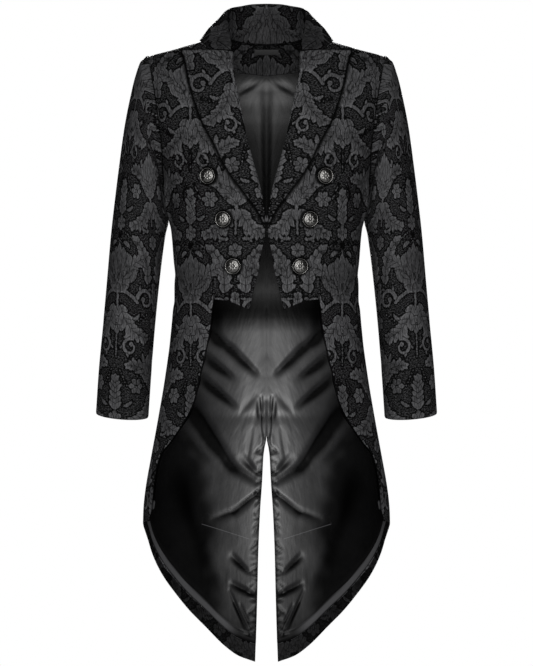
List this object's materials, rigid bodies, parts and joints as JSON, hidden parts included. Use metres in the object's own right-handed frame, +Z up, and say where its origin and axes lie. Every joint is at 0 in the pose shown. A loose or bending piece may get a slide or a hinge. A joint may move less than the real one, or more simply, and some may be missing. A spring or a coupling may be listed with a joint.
{
  "type": "tailcoat",
  "caption": "Men's tailcoat in brocade, filled out and hollow, with a standing collar, turned-back lapels, cut-away fronts, domed buttons and two lined tails with a vent between them.",
  "frame": {"origin": "middle of the shoulders, where a wearer carries the coat", "axes": "+Z up along the centre back, +X towards the wearer's left, -Y out of the front"},
  "size_m": [0.5824, 0.2723, 1.1551],
  "materials": {
    "brocade": "matt black ground with a slightly brighter woven figure",
    "satin": "satin",
    "antique_silver": "antique",
    "black_metal": "satin",
    "label_cloth": "matt"
  },
  "bodies": {
    "root": {"front_left": "brocade", "side_body_left": "brocade", "back_left": "brocade", "top_sleeve_left": "brocade", "under_sleeve_left": "brocade", "lapel_left": "brocade", "tail_facing_left": "brocade", "side_lining_left": "satin", "back_lining_left": "satin", "button_left_1": "antique_silver", "button_left_2": "antique_silver", "button_left_3": "antique_silver", "front_right": "brocade", "side_body_right": "brocade", "back_right": "brocade", "top_sleeve_right": "brocade", "under_sleeve_right": "brocade", "lapel_right": "brocade", "tail_facing_right": "brocade", "side_lining_right": "satin", "back_lining_right": "satin", "button_right_1": "antique_silver", "button_right_2": "antique_silver", "button_right_3": "antique_silver", "collar": "brocade", "neck_facing": "brocade", "label": "label_cloth", "hook": "black_metal", "eye": "black_metal"}
  },
  "joints": []
}
